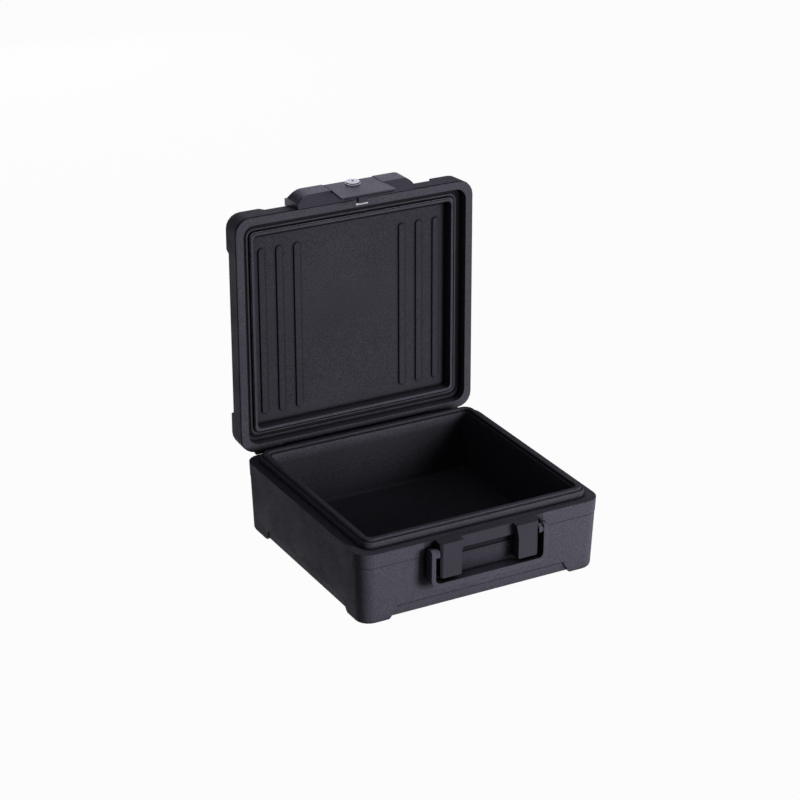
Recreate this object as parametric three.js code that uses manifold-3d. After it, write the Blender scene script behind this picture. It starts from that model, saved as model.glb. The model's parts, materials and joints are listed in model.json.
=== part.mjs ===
// A portable safe box: a double-walled tub on four moulded feet, a lid on a rear pin hinge,
// a key-locked front latch and a bail handle. The lid stands open.
// Millimetres, X to the right, Y to the back, Z up. The origin is below the middle of the
// open box, at its feet.
import * as THREE from "three";
import { mergeVertices } from "three/addons/utils/BufferGeometryUtils.js";
import Module from "manifold-3d";

const wasm = await Module();
wasm.setup();

// Driving dimensions
const WIDTH = 340;
const DEPTH = 318;
const BASE_HEIGHT = 96;
const LID_HEIGHT = 32;
const CORNER = 20;
const WALL = 3;
const LINER = 2.4;
const DRAFT = THREE.MathUtils.degToRad(2.2);
const OPEN_ANGLE = THREE.MathUtils.degToRad(90.6);

// Clearances: between fixed pieces, between moving pieces, and between the shut lid's rim and the ledge
const FIT = 0.3;
const PLAY = 0.6;
const RIM_GAP = 1;

// How far a cut runs past what it cuts
const OVERRUN = 6;

// Curves: the share of an inset by which a corner gets tighter, and the facets of corners, arcs
// and round pieces
const CORNER_SHARE = 0.52;
const CORNER_STEPS = 5;
const ARC_STEPS = 4;
const ROUND_STEPS = 24;

// Heights and planes that several pieces share
const LEDGE = BASE_HEIGHT;
const RIM = LEDGE + RIM_GAP;
const LID_TOP = RIM + LID_HEIGHT;
const FRONT = -DEPTH / 2;
const BACK = DEPTH / 2;
const SLOPE = Math.tan(DRAFT);

const foot = { lift: 3, round: 4, length: 41, lengthBack: 50, slope: 10, slopeTop: 15, flare: 3 };
const strip = { top: 18.2, step: 1.6, recess: 3.2, chamfer: 1.6 };
const band = { drop: 18.7, step: 0.4 };
const tongue = {
  ledge: 13.3,
  shoulder: 2.7,
  crest: 6.4,
  sill: 3.1,
  rise: 8.6,
  crestRise: 12,
  edge: 0.6,
  skirt: 8,
};
const tub = { floor: 22, fillet: 6 };
const hinge = {
  behind: 2.45,
  below: 1.15,
  knuckle: 5,
  pin: 1.8,
  length: 43.5,
  count: 5,
  gap: 0.6,
  leafProud: 3.5,
  leafFace: 6,
  leafLength: 14,
  bossDepth: 9,
  bossHeight: 10,
};
const bracket = {
  margin: 1.3,
  drop: 58,
  round: 16,
  thickness: 3,
  border: 5,
  blockOuter: 68.8,
  blockDepth: 15.5,
  blockDrop: 45.7,
  blockTaper: 0.6,
  blockBevel: 3,
  blockRound: 1.5,
  gapTop: 36.9,
  gapWide: 40.1,
  knee: 18,
};
const bar = { depth: 5.7, face: 14.9, lip: 2, drop: 16.9, chamfer: 1 };
const slot = { half: 38, drop: 26.2, floor: 2.7, ribHeight: 1.5, ribProud: 0.9 };
const handle = {
  gap: 6.6,
  strap: 6.3,
  drop: 57.9,
  depth: 16,
  round: 12.5,
  frontRound: 4,
  top: 6.2,
  behind: 0.6,
  bevel: 1.1,
  hub: 6.6,
  pin: 3,
  pinSeat: 12,
  pinCover: 1.6,
};
const groove = {
  rim: 10.5,
  depth: 12.6,
  flange: 2.2,
  edge: 0.5,
  seat: 1.8,
  seatInset: 14.6,
  seatWidth: 8,
};
const ridge = { inset: 24.2, width: 3.4, depth: 8.3 };
const pocket = { depth: 22.5, taper: 0.6, back: 17.5 };
const rib = {
  width: 8.5,
  height: 2.2,
  bevel: 1,
  front: 51.3,
  rear: 41.5,
  side: 44.2,
  spacing: 25,
  count: 3,
};
const gasket = { lip: 1.2, crown: 1.7 };
const pad = { rise: 2, round: 3, length: 44, lengthBelow: 52, strip: 9, step: 2.2, chamfer: 2 };
const panel = { inset: 30, round: 1.5, depth: 1 };
const housing = {
  half: 83,
  flat: 66.8,
  depth: 17.7,
  endWall: 6.5,
  flare: 3.4,
  height: 27,
  backHeight: 31.5,
  curveShare: 0.5,
};
const latch = {
  topHalf: 35.4,
  rimHalf: 36,
  endHalf: 39.4,
  reach: 33.6,
  thickness: 3,
  barrel: 3.3,
  pin: 1.5,
  pinSeat: 6,
  endRound: 2.5,
  edge: 0.8,
  armHalf: 6.5,
  armTop: 18.4,
  armHeight: 5.8,
  armEnd: 3.4,
};
const hook = { x: -3.7, width: 17, stem: 8, thickness: 2.2, tip: 0.1, tongue: 2.7, rooted: 6 };
const lock = {
  rise: 11.4,
  head: 10,
  headHeight: 3.8,
  neck: 8.8,
  neckHeight: 1.2,
  headEdge: 0.8,
  body: 7.2,
  behind: 5.5,
  plug: 5,
  keyway: 6,
  keywayWidth: 1.3,
  keywayDepth: 5,
  nut: 9.8,
  nutHeight: 3,
  nutSides: 6,
  camLength: 12,
  camHalf: 4.5,
  camHeight: 2,
  camScrew: 3.2,
  camScrewHeight: 1.8,
  pocketHalf: 15,
  pocketTop: 22,
  pocketFloor: 2.2,
};
const screw = { head: 2.3, headHeight: 1.2, shank: 1.4, length: 4.4, apart: 34.5, drop: 32 };
const fixing = { head: 3.4, headHeight: 2, shank: 1.7, length: 9, apart: 52, rise: 15 };

const hingeY = BACK + hinge.behind;
const hingeZ = LEDGE - hinge.below;
const handleHalf = bracket.blockOuter + handle.gap + handle.strap;
const bracketHalf = handleHalf + bracket.margin;
const cavityInset = tongue.ledge + tongue.shoulder + tongue.crest + tongue.sill;
const handleY = FRONT - (handle.depth + handle.behind) / 2;
const handleReach = (handle.depth - handle.behind) / 2;
const handleZ = LEDGE - handle.top - handleReach;
const plateOuter = FRONT - housing.depth;
const plateInner = plateOuter + latch.thickness;
const latchY = plateOuter + latch.barrel;
const latchZ = RIM + housing.height - latch.barrel;
const lockZ = RIM + lock.rise;

// Solids

function solid(geometry) {
  geometry.deleteAttribute("normal");
  geometry.deleteAttribute("uv");
  const merged = mergeVertices(geometry);
  const faces = [];
  for (let i = 0; i < merged.index.count; i += 3) {
    const face = [0, 1, 2].map((k) => merged.index.getX(i + k));
    if (new Set(face).size === 3) faces.push(...face);
  }
  return new wasm.Manifold(
    new wasm.Mesh({
      numProp: 3,
      vertProperties: merged.attributes.position.array,
      triVerts: new Uint32Array(faces),
    }),
  );
}

function join(first, ...others) {
  return others.reduce((sum, other) => sum.add(other), first);
}

function cut(first, ...others) {
  return others.reduce((rest, other) => rest.subtract(other), first);
}

function mesh(name, made, material) {
  const { vertProperties, triVerts } = made.getMesh();
  const geometry = new THREE.BufferGeometry();
  geometry.setAttribute("position", new THREE.BufferAttribute(vertProperties, 3));
  geometry.setIndex(new THREE.BufferAttribute(triVerts, 1));
  const piece = new THREE.Mesh(geometry, material.clone());
  piece.name = name;
  return piece;
}

// The plan outline of the box at an inset from its rim: a rectangle with round corners, as a ring of points.
function ring(inset, z) {
  const radius = CORNER - CORNER_SHARE * inset;
  const x = WIDTH / 2 - inset - radius;
  const y = DEPTH / 2 - inset - radius;
  const points = [];
  for (const [signX, signY, quarter] of [
    [1, 1, 0],
    [-1, 1, 1],
    [-1, -1, 2],
    [1, -1, 3],
  ]) {
    for (let step = 0; step <= CORNER_STEPS; step++) {
      const angle = ((quarter + step / CORNER_STEPS) * Math.PI) / 2;
      points.push(
        new THREE.Vector3(signX * x + radius * Math.cos(angle), signY * y + radius * Math.sin(angle), z),
      );
    }
  }
  return points;
}

// A skin over rings of equally many points. It is capped at both ends, or runs round from the
// last ring to the first.
function skin(rings, round = false) {
  const count = rings[0].length;
  const last = (rings.length - 1) * count;
  const faces = [];
  for (let level = 0; level < (round ? rings.length : rings.length - 1); level++) {
    const low = level * count;
    const high = ((level + 1) % rings.length) * count;
    for (let i = 0; i < count; i++) {
      const next = (i + 1) % count;
      faces.push(low + i, low + next, high + next, low + i, high + next, high + i);
    }
  }
  for (let i = 1; i < count - 1 && !round; i++) faces.push(0, i + 1, i, last, last + i, last + i + 1);
  const geometry = new THREE.BufferGeometry().setFromPoints(rings.flat());
  geometry.setIndex(faces);
  return solid(geometry);
}

// A section of [inset, height] points carried round the plan outline, as a lathe carries one round its axis.
function carried(section, round = false) {
  return skin(
    section.map(([inset, z]) => ring(inset, z)),
    round,
  );
}

function arc(inset, z, radius, from, to) {
  const points = [];
  for (let step = 0; step <= ARC_STEPS; step++) {
    const angle = from + ((to - from) * step) / ARC_STEPS;
    points.push([inset + radius * Math.cos(angle), z + radius * Math.sin(angle)]);
  }
  return points;
}

// A closed outline from its corners, each [x, y] or [x, y, radius].
function outline(corners) {
  const points = [];
  corners.forEach(([x, y, radius], i) => {
    const corner = new THREE.Vector2(x, y);
    if (!radius) {
      points.push(corner);
      return;
    }
    const back = new THREE.Vector2(...corners.at(i - 1).slice(0, 2)).sub(corner).normalize();
    const on = new THREE.Vector2(...corners[(i + 1) % corners.length].slice(0, 2)).sub(corner).normalize();
    const half = Math.acos(back.dot(on)) / 2;
    const toCentre = back.clone().add(on).setLength(radius / Math.sin(half));
    const centre = corner.clone().add(toCentre);
    const start = corner.clone().addScaledVector(back, radius / Math.tan(half));
    const turn = Math.sign(on.cross(back)) * (Math.PI - 2 * half);
    for (let step = 0; step <= ARC_STEPS; step++) {
      points.push(start.clone().rotateAround(centre, (turn * step) / ARC_STEPS));
    }
  });
  return new THREE.Shape(points);
}

// An outline extruded along an axis. Its own plane is YZ along x, XZ along y and XY along z.
function prism(shape, axis, low, high, bevel = 0) {
  const geometry = new THREE.ExtrudeGeometry(shape, {
    depth: high - low - 2 * bevel,
    curveSegments: ARC_STEPS,
    bevelEnabled: bevel > 0,
    bevelThickness: bevel,
    bevelSize: bevel,
    bevelOffset: -bevel,
    bevelSegments: 2,
  });
  geometry.translate(0, 0, bevel + (axis === "y" ? -high : low));
  const X = new THREE.Vector3(1, 0, 0);
  const Y = new THREE.Vector3(0, 1, 0);
  const Z = new THREE.Vector3(0, 0, 1);
  if (axis === "x") geometry.applyMatrix4(new THREE.Matrix4().makeBasis(Y, Z, X));
  if (axis === "y") geometry.applyMatrix4(new THREE.Matrix4().makeBasis(X, Z, Y.clone().negate()));
  return solid(geometry);
}

function block(x, y, z) {
  const geometry = new THREE.BoxGeometry(x[1] - x[0], y[1] - y[0], z[1] - z[0]);
  geometry.translate((x[0] + x[1]) / 2, (y[0] + y[1]) / 2, (z[0] + z[1]) / 2);
  return solid(geometry);
}

function rodX(radius, low, high, y, z) {
  const geometry = new THREE.CylinderGeometry(radius, radius, high - low, ROUND_STEPS);
  geometry.rotateZ(Math.PI / 2);
  geometry.translate((low + high) / 2, y, z);
  return solid(geometry);
}

function rodY(radius, low, high, x, z, sides = ROUND_STEPS) {
  const geometry = new THREE.CylinderGeometry(radius, radius, high - low, sides);
  geometry.rotateY(Math.PI / sides);
  geometry.translate(x, (low + high) / 2, z);
  return solid(geometry);
}

// A turned piece about an axis along Y: [radius, distance behind y] points, from behind to before.
function turned(profile, x, y, z) {
  const points = profile.map(([radius, behind]) => new THREE.Vector2(radius, behind));
  const geometry = new THREE.LatheGeometry(points.reverse(), ROUND_STEPS);
  geometry.translate(x, y, z);
  return solid(geometry);
}

// Materials
const shellPlastic = new THREE.MeshStandardMaterial({ color: 0x4b4a53, roughness: 0.62, metalness: 0 });
const linerPlastic = new THREE.MeshStandardMaterial({ color: 0x3e3d43, roughness: 0.6, metalness: 0 });
const trimPlastic = new THREE.MeshStandardMaterial({ color: 0x5a5963, roughness: 0.5, metalness: 0 });
const handlePlastic = new THREE.MeshStandardMaterial({ color: 0x4a4952, roughness: 0.38, metalness: 0 });
const sealRubber = new THREE.MeshStandardMaterial({ color: 0x2e2d31, roughness: 0.8, metalness: 0 });
const insulation = new THREE.MeshStandardMaterial({ color: 0xb9b4a6, roughness: 0.95, metalness: 0 });
const chrome = new THREE.MeshStandardMaterial({ color: 0xd8d8da, roughness: 0.18, metalness: 1 });
const steel = new THREE.MeshStandardMaterial({ color: 0xb4b4b6, roughness: 0.35, metalness: 1 });
const darkSteel = new THREE.MeshStandardMaterial({ color: 0x2c2c2f, roughness: 0.4, metalness: 1 });

// The drafted outer wall as a section, offset inwards, with the step of its upper band.
function wall(offset, bottom, top) {
  const stepZ = LEDGE - band.drop;
  return [
    [offset + band.step + (LEDGE - bottom) * SLOPE, bottom],
    [offset + band.step + band.drop * SLOPE, stepZ],
    [offset + band.drop * SLOPE, stepZ],
    [offset + (LEDGE - top) * SLOPE, top],
  ];
}

function wallInset(z) {
  return band.step + (LEDGE - z) * SLOPE;
}

function cavityWall(z) {
  return cavityInset + (LEDGE + tongue.rise - z) * SLOPE;
}

// Four blocks at the corners, as long as each of the levels' [length, z] says, and longer by
// extra along the back.
function corners(levels, extra = 0) {
  const blocks = [];
  for (const signX of [1, -1]) {
    for (const signY of [1, -1]) {
      const rings = levels.map(([length, z]) => {
        const long = signY > 0 ? length + extra : length;
        const x = [signX * (WIDTH / 2 - length), signX * (WIDTH / 2 + OVERRUN)].sort((a, b) => a - b);
        const y = [signY * (DEPTH / 2 - long), signY * (DEPTH / 2 + OVERRUN)].sort((a, b) => a - b);
        return [
          new THREE.Vector3(x[0], y[0], z),
          new THREE.Vector3(x[1], y[0], z),
          new THREE.Vector3(x[1], y[1], z),
          new THREE.Vector3(x[0], y[1], z),
        ];
      });
      blocks.push(skin(rings));
    }
  }
  return join(...blocks);
}

// Hinge knuckles number first, first + 2 and so on, each on its leaf, which runs up or down the wall.
function knuckleSpan(i) {
  const start = (i - hinge.count / 2) * hinge.length;
  return [start + hinge.gap / 2, start + hinge.length - hinge.gap / 2];
}

function knuckles(first, direction) {
  const made = [];
  for (let i = first; i < hinge.count; i += 2) {
    const [low, high] = knuckleSpan(i);
    const leaf = outline([
      [BACK - WALL / 2, hingeZ],
      [BACK + hinge.leafProud, hingeZ],
      [BACK + hinge.leafProud, hingeZ + direction * hinge.leafFace],
      [BACK - hinge.leafLength * SLOPE, hingeZ + direction * hinge.leafLength],
      [BACK - WALL / 2, hingeZ + direction * hinge.leafLength],
    ]);
    made.push(rodX(hinge.knuckle, low, high, hingeY, hingeZ), prism(leaf, "x", low, high));
  }
  return join(...made);
}

function knuckleRoom(first) {
  const made = [];
  for (let i = first; i < hinge.count; i += 2) {
    const [low, high] = knuckleSpan(i);
    made.push(rodX(hinge.knuckle + PLAY, low - hinge.gap, high + hinge.gap, hingeY, hingeZ));
  }
  return join(...made);
}

const hingeHalf = (hinge.count * hinge.length) / 2;

// The lid's flange along the hinge: it closes the gap behind the ledge from corner to corner.
function hingeFlange() {
  const half = WIDTH / 2 - CORNER;
  const low = RIM + groove.flange + FIT;
  const section = outline([
    [BACK - groove.edge + FIT, RIM],
    [BACK + hinge.leafProud, RIM],
    [BACK + hinge.leafProud, hingeZ + hinge.leafFace],
    [BACK - hinge.leafLength * SLOPE, hingeZ + hinge.leafLength],
    [BACK - WALL / 2, hingeZ + hinge.leafLength],
    [BACK - WALL / 2, low],
    [BACK - groove.edge + FIT, low],
  ]);
  return prism(section, "x", -half, half);
}

const hingeBore = rodX(hinge.pin + FIT, -hingeHalf - OVERRUN, hingeHalf + OVERRUN, hingeY, hingeZ);

// The bracket's back plate in the front wall, grown by a border.
function bracketZone(grow) {
  const half = bracketHalf + grow;
  const low = LEDGE - bracket.drop - grow;
  const shape = outline([
    [-half, low, bracket.round],
    [half, low, bracket.round],
    [half, LEDGE + OVERRUN],
    [-half, LEDGE + OVERRUN],
  ]);
  return prism(shape, "y", FRONT - OVERRUN, FRONT + 4 * OVERRUN);
}

function bodyAt(offset, top = LEDGE + OVERRUN) {
  return carried(wall(offset, foot.lift, top));
}

// Base pieces

function hingeBoss(grow) {
  const half = hingeHalf + WALL + grow;
  return block(
    [-half, half],
    [BACK - hinge.bossDepth - grow, BACK - WALL / 2],
    [LEDGE - hinge.bossHeight - grow, LEDGE - WALL / 2],
  );
}

function baseShell() {
  const trimmed = carried([
    [wallInset(foot.lift) + strip.recess + strip.chamfer, foot.lift],
    [wallInset(foot.lift) + strip.recess, foot.lift + strip.chamfer],
    [wallInset(strip.top) + strip.step, strip.top],
    ...wall(0, strip.top, LEDGE),
  ]);
  const bottomEdge = arc(wallInset(0) + foot.round, foot.round, foot.round, -Math.PI / 2, -Math.PI);
  const full = carried([...bottomEdge, ...wall(0, foot.round + foot.round * SLOPE, LEDGE)]);
  const feet = full.intersect(
    corners(
      [
        [foot.length - foot.slope, -foot.slopeTop],
        [foot.length + foot.slope, foot.slopeTop],
        [foot.length + foot.slope + foot.flare, strip.top],
      ],
      foot.lengthBack - foot.length,
    ),
  );
  const cavity = carried([
    [wallInset(foot.lift) + strip.recess + WALL, foot.lift + WALL],
    [wallInset(strip.top) + strip.step + WALL, strip.top],
    ...wall(WALL, strip.top + WALL, LEDGE - WALL),
  ]);
  const mouth = carried([
    [tongue.ledge - FIT, LEDGE - WALL - OVERRUN],
    [tongue.ledge - FIT, LEDGE + OVERRUN],
  ]);
  const front = bracketZone(bracket.border)
    .intersect(carried(wall(WALL / 3, foot.lift, LEDGE)))
    .subtract(bodyAt(bracket.thickness + FIT + WALL));
  const recess = bracketZone(FIT).subtract(bodyAt(bracket.thickness + FIT));
  const body = cut(join(trimmed, feet), cavity, mouth);
  const holes = [-1, 1].map((side) =>
    rodY(screw.shank + FIT, FRONT, FRONT + 2 * OVERRUN, side * screw.apart, LEDGE - screw.drop),
  );
  const opened = cut(join(body, front, hingeBoss(0)), recess, knuckleRoom(1), ...holes);
  return cut(join(opened, knuckles(0, -1)), hingeBore);
}

function baseLiner() {
  const rise = LEDGE + tongue.rise;
  const crest = LEDGE + tongue.crestRise;
  const shoulder = tongue.ledge + tongue.shoulder;
  const inner = shoulder + tongue.crest;
  const roof = rise - LINER;
  const skirt = LEDGE - tongue.skirt;
  const floorInset = cavityWall(tub.floor);
  return carried([
    [floorInset, tub.floor - LINER],
    [floorInset - LINER, tub.floor],
    [cavityWall(roof) - LINER, roof],
    [tongue.ledge + LINER, roof],
    [tongue.ledge + LINER, skirt],
    [tongue.ledge, skirt],
    [tongue.ledge, rise - tongue.edge],
    [tongue.ledge + tongue.edge, rise],
    [shoulder, rise],
    [shoulder, crest - tongue.edge],
    [shoulder + tongue.edge, crest],
    [inner - tongue.edge, crest],
    [inner, crest - tongue.edge],
    [inner, rise],
    [cavityInset, rise],
    ...arc(floorInset + tub.fillet, tub.floor + tub.fillet, tub.fillet, Math.PI, 1.5 * Math.PI),
  ]);
}

function baseFill() {
  const roof = LEDGE + tongue.rise - LINER - FIT;
  const skirt = LEDGE - tongue.skirt - FIT;
  const floorInset = cavityWall(tub.floor);
  const made = carried([
    [wallInset(foot.lift) + strip.recess + WALL + FIT, foot.lift + WALL + FIT],
    [wallInset(strip.top) + strip.step + WALL + FIT, strip.top],
    ...wall(WALL + FIT, strip.top + WALL, LEDGE - WALL - FIT),
    [tongue.ledge - FIT, LEDGE - WALL - FIT],
    [tongue.ledge - FIT, skirt],
    [tongue.ledge + LINER + FIT, skirt],
    [tongue.ledge + LINER + FIT, roof],
    [cavityWall(roof) - LINER - FIT, roof],
    [floorInset - LINER - FIT, tub.floor],
    [floorInset, tub.floor - LINER - FIT],
  ]);
  const front = bracketZone(bracket.border + FIT).subtract(bodyAt(bracket.thickness + 2 * FIT + WALL));
  return cut(made, front, hingeBoss(FIT), knuckleRoom(1));
}

function handleBracket() {
  const plate = bracketZone(0)
    .intersect(carried(wall(0, foot.lift, LEDGE)))
    .subtract(bodyAt(bracket.thickness));
  const rooted = FRONT + bracket.thickness - FIT;
  const blocks = [-1, 1].map((side) => {
    const face = outline([
      [side * bracket.gapTop, LEDGE],
      [side * bracket.blockOuter, LEDGE],
      [side * (bracket.blockOuter - bracket.blockTaper), LEDGE - bracket.blockDrop, bracket.blockRound],
      [side * bracket.gapWide, LEDGE - bracket.blockDrop, bracket.blockRound],
      [side * bracket.gapWide, LEDGE - bracket.knee],
    ]);
    const plan = outline([
      [side * (bracket.gapTop - WALL), rooted],
      [side * (bracket.gapTop - WALL), FRONT - bracket.blockDepth],
      [side * (bracket.blockOuter - bracket.blockBevel), FRONT - bracket.blockDepth],
      [side * bracket.blockOuter, FRONT - bracket.blockDepth + bracket.blockBevel],
      [side * bracket.blockOuter, rooted],
    ]);
    const planned = prism(plan, "z", LEDGE - bracket.blockDrop - OVERRUN, LEDGE + OVERRUN);
    return prism(face, "y", FRONT - bracket.blockDepth - OVERRUN, rooted + OVERRUN).intersect(planned);
  });
  const catchBar = prism(
    outline([
      [rooted, LEDGE],
      [FRONT - bar.depth, LEDGE],
      [FRONT - bar.depth, LEDGE - bar.face],
      [FRONT - bar.depth + bar.lip, LEDGE - bar.face - bar.chamfer],
      [FRONT - bar.depth + bar.lip, LEDGE - bar.drop],
      [rooted, LEDGE - bar.drop],
    ]),
    "x",
    -bracket.gapWide - WALL / 2,
    bracket.gapWide + WALL / 2,
  );
  const under = block(
    [-slot.half, slot.half],
    [FRONT - OVERRUN, FRONT + slot.floor],
    [LEDGE - slot.drop, LEDGE - bar.drop],
  );
  const sill = block(
    [-slot.half, slot.half],
    [FRONT + slot.floor - slot.ribProud - LINER / 2, rooted],
    [LEDGE - slot.drop - slot.ribHeight, LEDGE - slot.drop],
  );
  const holes = [-1, 1].flatMap((side) => [
    rodY(screw.shank + FIT, FRONT, FRONT + 2 * OVERRUN, side * screw.apart, LEDGE - screw.drop),
    rodX(
      handle.pin + FIT,
      side > 0 ? bracket.blockOuter - handle.pinSeat - FIT : -bracket.blockOuter - OVERRUN,
      side > 0 ? bracket.blockOuter + OVERRUN : -bracket.blockOuter + handle.pinSeat + FIT,
      handleY,
      handleZ,
    ),
  ]);
  return cut(join(cut(plate, under), sill, catchBar, ...blocks), ...holes);
}

function bracketScrew(side) {
  const y = FRONT + wallInset(LEDGE - screw.drop) - FIT;
  return turned(
    [
      [0, screw.length],
      [screw.shank, screw.length],
      [screw.shank, 0],
      [screw.head, 0],
      [screw.head, -screw.headHeight / 2],
      [screw.head / 2, -screw.headHeight],
      [0, -screw.headHeight],
    ],
    side * screw.apart,
    y,
    LEDGE - screw.drop,
  );
}

function bailHandle() {
  const inner = handleHalf - handle.strap;
  const top = LEDGE - handle.top;
  const bottom = LEDGE - handle.drop;
  const strap = prism(
    outline([
      [-handleHalf, top + OVERRUN],
      [-handleHalf, bottom, handle.round],
      [handleHalf, bottom, handle.round],
      [handleHalf, top + OVERRUN],
      [inner, top + OVERRUN],
      [inner, bottom + handle.strap, handle.round - handle.strap],
      [-inner, bottom + handle.strap, handle.round - handle.strap],
      [-inner, top + OVERRUN],
    ]),
    "y",
    FRONT - handle.depth,
    FRONT - handle.behind,
    handle.bevel,
  );
  const side = prism(
    outline([
      [FRONT - handle.depth, bottom - OVERRUN],
      [FRONT - handle.behind, bottom - OVERRUN],
      [FRONT - handle.behind, top, handleReach - FIT],
      [FRONT - handle.depth, top, handle.frontRound],
    ]),
    "x",
    -handleHalf - OVERRUN,
    handleHalf + OVERRUN,
  );
  const hubs = [-1, 1].map((sign) => {
    const span = [sign * (bracket.blockOuter + PLAY), sign * (inner + handle.bevel)].sort((a, b) => a - b);
    return rodX(handle.hub, span[0], span[1], handleY, handleZ);
  });
  const bores = [-1, 1].map((sign) => {
    const ends = [bracket.blockOuter, handleHalf - handle.pinCover + FIT];
    const span = ends.map((end) => sign * end).sort((a, b) => a - b);
    return rodX(handle.pin + FIT, span[0], span[1], handleY, handleZ);
  });
  return cut(join(strap.intersect(side), ...hubs), ...bores);
}

function handlePin(sign) {
  const span = [bracket.blockOuter - handle.pinSeat, handleHalf - handle.pinCover];
  return rodX(handle.pin, sign > 0 ? span[0] : -span[1], sign > 0 ? span[1] : -span[0], handleY, handleZ);
}

// Lid pieces, drawn with the lid shut

function lidInset(z) {
  return (z - RIM) * SLOPE;
}

// The lid's inner wall line, from the rim up to the roof of its cavity.
function lidCavityInset(z) {
  return WALL + ((z - RIM) * (lidInset(LID_TOP) + pad.step)) / LID_HEIGHT;
}

// The lid's outer form, offset inwards: between the corner pads its top edge has a shallow strip.
function lidForm(offset, bottom) {
  const stripZ = LID_TOP - pad.strip;
  const top = LID_TOP - offset;
  const padTop = LID_TOP + pad.rise - offset;
  const trimmed = carried([
    [lidInset(bottom) + offset, bottom],
    [lidInset(stripZ) + offset, stripZ],
    [lidInset(stripZ) + pad.step + offset, stripZ],
    [lidInset(top) + pad.step + offset, top - pad.chamfer],
    [lidInset(top) + pad.step + pad.chamfer + offset, top],
  ]);
  const full = carried([
    [lidInset(bottom) + offset, bottom],
    ...arc(lidInset(padTop) + pad.round + offset, padTop - pad.round, pad.round, Math.PI, Math.PI / 2),
  ]);
  return join(
    trimmed,
    full.intersect(
      corners([
        [pad.lengthBelow, stripZ],
        [pad.length, LID_TOP + OVERRUN],
      ]),
    ),
  );
}

function lidShell() {
  const bottom = RIM + groove.flange + FIT;
  const field = carried([
    [panel.inset + panel.depth + panel.round, LID_TOP - panel.depth],
    [panel.inset, LID_TOP + OVERRUN],
  ]);
  const roof = LID_TOP - WALL - panel.depth;
  const cavity = carried([
    [lidCavityInset(bottom - OVERRUN), bottom - OVERRUN],
    [lidCavityInset(roof), roof],
  ]);
  const holes = [-1, 1].map((side) =>
    rodY(fixing.shank + FIT, FRONT - OVERRUN, FRONT + 2 * OVERRUN, side * fixing.apart, RIM + fixing.rise),
  );
  const body = cut(join(cut(lidForm(0, bottom), field, cavity), hingeFlange()), knuckleRoom(0), ...holes);
  return cut(join(body, knuckles(1, 1)), hingeBore);
}

function lidLiner() {
  const seat = groove.seatInset;
  const seatEnd = seat + groove.seatWidth;
  const seatZ = RIM + groove.depth + groove.seat;
  const inner = ridge.inset + ridge.width;
  const back = RIM + pocket.depth + LINER;
  const made = carried([
    [inner + pocket.taper, RIM + pocket.depth],
    [inner, RIM + ridge.depth],
    [ridge.inset, RIM + ridge.depth],
    [ridge.inset, RIM + groove.depth],
    [seatEnd, RIM + groove.depth],
    [seatEnd, seatZ],
    [seat, seatZ],
    [seat, RIM + groove.depth],
    [groove.rim, RIM + groove.depth],
    [groove.rim, RIM],
    [groove.edge, RIM],
    [groove.edge, RIM + groove.flange],
    [groove.rim - groove.flange, RIM + groove.flange],
    [groove.rim - groove.flange, RIM + pocket.back],
    [inner - LINER, RIM + pocket.back],
    [inner - LINER + pocket.taper, back],
  ]);
  const length = DEPTH - rib.front - rib.rear;
  const bars = [];
  for (const side of [-1, 1]) {
    for (let i = 0; i < rib.count; i++) {
      const x = side * (WIDTH / 2 - rib.side - i * rib.spacing);
      const half = rib.width / 2;
      const shape = outline([
        [x - half, FRONT + rib.front, half],
        [x + half, FRONT + rib.front, half],
        [x + half, FRONT + rib.front + length, half],
        [x - half, FRONT + rib.front + length, half],
      ]);
      const low = RIM + pocket.depth - rib.height;
      bars.push(prism(shape, "z", low, low + 2 * rib.height, rib.bevel));
    }
  }
  const room = rodX(hinge.knuckle + 2 * PLAY, -hingeHalf - PLAY, hingeHalf + PLAY, hingeY, hingeZ);
  return cut(join(made, ...bars), room);
}

function lidFill() {
  const inner = ridge.inset + ridge.width;
  const top = LID_TOP - WALL - panel.depth - FIT;
  const made = carried([
    [inner - LINER + pocket.taper - FIT, RIM + pocket.depth + LINER + FIT],
    [inner - LINER - FIT, RIM + pocket.back + FIT],
    [groove.rim - groove.flange - FIT, RIM + pocket.back + FIT],
    [groove.rim - groove.flange - FIT, RIM + groove.flange + FIT],
    [lidCavityInset(RIM + groove.flange) + FIT, RIM + groove.flange + FIT],
    [lidCavityInset(top) + FIT, top],
  ]);
  const heads = [-1, 1].map((side) =>
    rodY(
      fixing.head + FIT,
      FRONT,
      FRONT + lidCavityInset(LID_TOP) + fixing.headHeight + 2 * FIT,
      side * fixing.apart,
      RIM + fixing.rise,
    ),
  );
  return cut(made, knuckleRoom(0), ...heads);
}

function lidGasket() {
  const low = groove.seatInset + FIT;
  const high = groove.seatInset + groove.seatWidth - FIT;
  const face = RIM + tongue.crestRise - RIM_GAP + FIT;
  const back = RIM + groove.depth + groove.seat - FIT;
  return carried(
    [
      [low, back],
      [low, face + gasket.lip],
      [low + gasket.crown, face + FIT / 2],
      [(low + high) / 2, face],
      [high - gasket.crown, face + FIT / 2],
      [high, face + gasket.lip],
      [high, back],
    ].reverse(),
    true,
  );
}

// Latch pieces, drawn with the lid shut and the plate flush

function plateOutline(grow, top, bottom) {
  const spread = (latch.endHalf - latch.rimHalf) / latch.reach;
  const end = latch.endHalf + grow + (RIM - latch.reach - bottom) * spread;
  const round = grow ? 0 : latch.endRound;
  return outline([
    [-end, bottom, round],
    [end, bottom, round],
    [latch.rimHalf + grow, RIM],
    [latch.topHalf + grow, top],
    [-latch.topHalf - grow, top],
    [-latch.rimHalf - grow, RIM],
  ]);
}

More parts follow.
